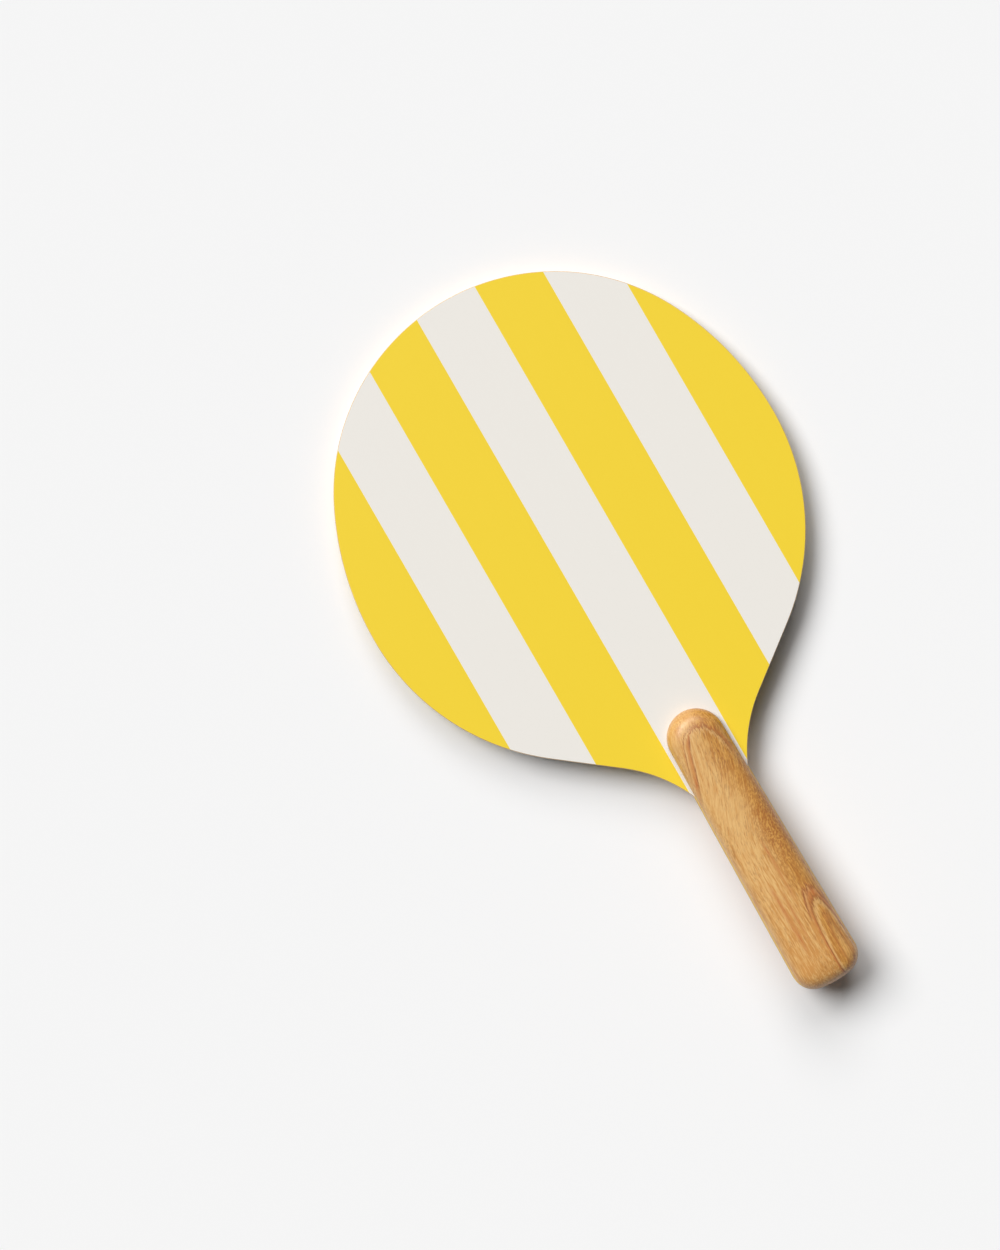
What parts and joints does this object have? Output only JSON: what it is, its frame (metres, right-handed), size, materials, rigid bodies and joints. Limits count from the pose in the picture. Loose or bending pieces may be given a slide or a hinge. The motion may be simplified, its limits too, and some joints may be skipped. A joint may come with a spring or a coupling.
{
  "type": "frescobol racket",
  "caption": "Round-headed plywood beach racket with striped painted faces and a rounded wooden grip glued over its tang.",
  "frame": {"origin": "under the middle of the racket, level with the crown of the back grip half", "axes": "+Y along the racket from the butt to the tip, +Z out of the front face, +X across it to the right, seen from the front with the tip up"},
  "size_m": [0.235, 0.4, 0.0281],
  "materials": {
    "pale_veneer": "sanded, bare at the rim, with the grain along the racket",
    "dark_veneer": "sanded, bare at the rim, with the end grain showing",
    "white_paint": "satin off-white screen-printed paint",
    "yellow_paint": "satin warm yellow screen-printed paint",
    "dried_glue": "dried wood glue, a thin line in the joint",
    "golden_wood": "satin oiled golden-brown hardwood with fine dark pores"
  },
  "bodies": {
    "root": {"front_face_veneer": "pale_veneer", "front_crossband": "dark_veneer", "core_veneer": "pale_veneer", "back_crossband": "dark_veneer", "back_face_veneer": "pale_veneer", "front_white_stripes": "white_paint", "front_yellow_stripes": "yellow_paint", "back_white_stripes": "white_paint", "back_yellow_stripes": "yellow_paint", "front_glue_film": "dried_glue", "back_glue_film": "dried_glue", "front_grip_half": "golden_wood", "back_grip_half": "golden_wood"}
  },
  "joints": []
}
